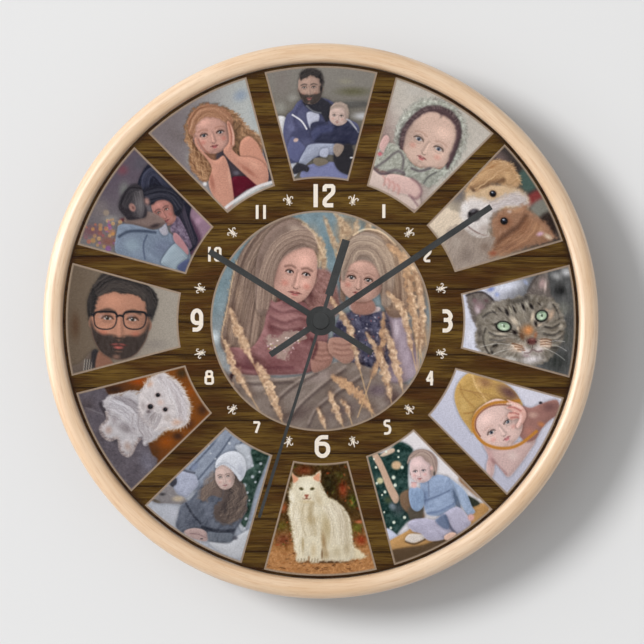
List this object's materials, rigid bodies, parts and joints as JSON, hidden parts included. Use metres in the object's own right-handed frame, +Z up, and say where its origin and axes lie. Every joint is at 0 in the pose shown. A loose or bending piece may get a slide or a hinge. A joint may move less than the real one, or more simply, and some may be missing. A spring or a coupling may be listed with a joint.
{
  "type": "wall clock",
  "caption": "Round wall clock: turned pale wood ring, clear lens, plank-print dial with picture panels, black bar hands, quartz movement with battery and hanger.",
  "frame": {"origin": "the point on the wall plane where the wall hook carries the hanger, 40 mm above the hands' arbor", "axes": "+Z up, -Y out of the dial towards the viewer, +X to the viewer's right"},
  "size_m": [0.2718, 0.0446, 0.2718],
  "materials": {
    "pale_wood": "satin varnish",
    "clear_acrylic": "polished",
    "grey_card": "matt",
    "printed_card": "satin print on card",
    "fibreboard": "raw hardboard",
    "bright_steel": "plated",
    "dark_steel": "dark",
    "brass": "bright",
    "enamelled_copper": "enamelled copper wire",
    "black_rubber": "matt",
    "ivory_plastic": "moulded",
    "black_plastic": "moulded",
    "white_nylon": "moulded",
    "black_paint": "satin black paint",
    "circuit_green": "solder mask",
    "cell_jacket": "plain jacket"
  },
  "bodies": {
    "clock": {"frame_ring": "pale_wood", "lens": "clear_acrylic", "spacer_ring": "grey_card", "dial": "printed_card", "back_board": "fibreboard", "retaining_tab_1": "bright_steel", "retaining_tab_2": "bright_steel", "retaining_tab_3": "bright_steel", "retaining_tab_4": "bright_steel", "movement_case": "ivory_plastic", "movement_cover": "ivory_plastic", "middle_plate": "black_plastic", "gasket": "black_rubber", "washer": "brass", "hex_nut": "brass", "contact_positive": "bright_steel", "contact_negative": "bright_steel", "circuit_board": "circuit_green", "quartz_crystal": "bright_steel", "stator": "dark_steel", "coil": "enamelled_copper"},
    "minute_hand": {"minute_hand": "black_paint", "cannon_pinion": "brass", "clutch_spring": "bright_steel"},
    "hour_hand": {"hour_hand": "black_paint", "hour_wheel": "brass"},
    "minute_work": {"minute_work_wheel": "white_nylon"},
    "setting_knob": {"setting_knob": "ivory_plastic"},
    "second_hand": {"second_hand": "black_paint", "second_wheel": "white_nylon"},
    "third_wheel": {"third_wheel": "white_nylon"},
    "centre_wheel": {"centre_wheel": "white_nylon"},
    "intermediate_wheel": {"intermediate_wheel": "white_nylon"},
    "rotor": {"rotor": "dark_steel"},
    "battery": {"battery": "cell_jacket"}
  },
  "joints": [
    {"name": "minute_hand_turn", "type": "hinge", "parent": "clock", "child": "minute_hand", "pos_m": [0, -0.03, -0.04], "axis": [0, 1, 0], "continuous": true},
    {"name": "hour_hand_turn", "type": "hinge", "parent": "clock", "child": "hour_hand", "pos_m": [0, -0.028, -0.04], "axis": [0, 1, 0], "continuous": true},
    {"name": "minute_work_turn", "type": "hinge", "parent": "clock", "child": "minute_work", "pos_m": [-0.00804, -0.0131, -0.03858], "axis": [0, 1, 0], "continuous": true},
    {"name": "setting_knob_turn", "type": "hinge", "parent": "clock", "child": "setting_knob", "pos_m": [-0.0151, -0.003, -0.0345], "axis": [0, 1, 0], "continuous": true},
    {"name": "second_hand_turn", "type": "hinge", "parent": "clock", "child": "second_hand", "pos_m": [0, -0.032, -0.04], "axis": [0, 1, 0], "continuous": true},
    {"name": "third_wheel_turn", "type": "hinge", "parent": "clock", "child": "third_wheel", "pos_m": [-0.00431, -0.0085, -0.03076], "axis": [0, 1, 0], "continuous": true},
    {"name": "centre_wheel_turn", "type": "hinge", "parent": "clock", "child": "centre_wheel", "pos_m": [0, -0.0111, -0.04], "axis": [0, 1, 0], "continuous": true},
    {"name": "intermediate_wheel_turn", "type": "hinge", "parent": "clock", "child": "intermediate_wheel", "pos_m": [0.00696, -0.0049, -0.03675], "axis": [0, 1, 0], "continuous": true},
    {"name": "rotor_turn", "type": "hinge", "parent": "clock", "child": "rotor", "pos_m": [0.01046, -0.005, -0.03069], "axis": [0, 1, 0], "continuous": true},
    {"name": "battery_pull", "type": "slide", "parent": "clock", "child": "battery", "axis": [0, 1, 0], "range_m": [0, 0.03]}
  ],
  "couplings": [
    {"joint": "minute_work_turn", "follows": "minute_hand_turn", "ratio": -0.33333},
    {"joint": "hour_hand_turn", "follows": "minute_hand_turn", "ratio": 0.083333},
    {"joint": "setting_knob_turn", "follows": "minute_hand_turn", "ratio": 1},
    {"joint": "third_wheel_turn", "follows": "second_hand_turn", "ratio": -0.125},
    {"joint": "centre_wheel_turn", "follows": "second_hand_turn", "ratio": 0.016667},
    {"joint": "intermediate_wheel_turn", "follows": "second_hand_turn", "ratio": -5},
    {"joint": "rotor_turn", "follows": "second_hand_turn", "ratio": 30}
  ]
}
